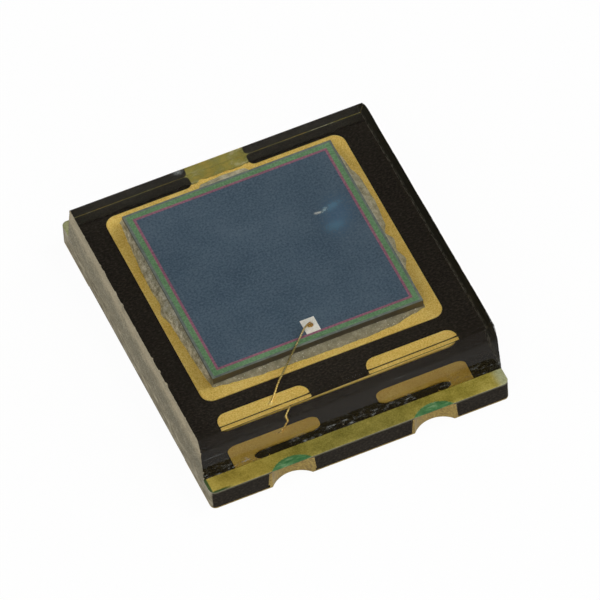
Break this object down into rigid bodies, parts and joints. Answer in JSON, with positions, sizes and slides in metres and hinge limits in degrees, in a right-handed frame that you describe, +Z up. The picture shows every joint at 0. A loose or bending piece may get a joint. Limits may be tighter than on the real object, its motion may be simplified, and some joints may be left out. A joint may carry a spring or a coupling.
{
  "type": "photodiode",
  "caption": "Surface-mount photodiode: a square silicon chip on a black laminate board under a clear moulding, with plated end notches and underside lands for soldering.",
  "frame": {"origin": "middle of the underside, on the plane of the solder lands", "axes": "+X along the notched ends, +Y from the anode end to the cathode end, +Z up out of the light-sensitive face"},
  "size_m": [0.0042, 0.005, 0.001],
  "materials": {
    "black_laminate": "matte, cut edges show a fine grain",
    "gold_track": "satin plated, fine grain",
    "gold_terminal": "satin plated",
    "green_resist": "thin see-through film",
    "silver_adhesive": "rough, metal-filled",
    "silicon": "sawn sides, polished top",
    "green_oxide": "smooth thin film",
    "magenta_film": "smooth thin film",
    "blue_film": "smooth thin film",
    "bond_metal": "bright",
    "gold_wire": "bright drawn wire",
    "clear_epoxy": "clear and glossy, frosted on the sawn sides"
  },
  "bodies": {
    "root": {"board": "black_laminate", "cathode_track": "gold_track", "anode_track": "gold_track", "cathode_terminal": "gold_terminal", "anode_terminal": "gold_terminal", "solder_resist_front": "green_resist", "solder_resist_rear": "green_resist", "die_attach": "silver_adhesive", "chip": "silicon", "oxide_frame": "green_oxide", "edge_ring": "magenta_film", "window_film": "blue_film", "bond_pad": "bond_metal", "bond_wire": "gold_wire", "moulding": "clear_epoxy"}
  },
  "joints": []
}
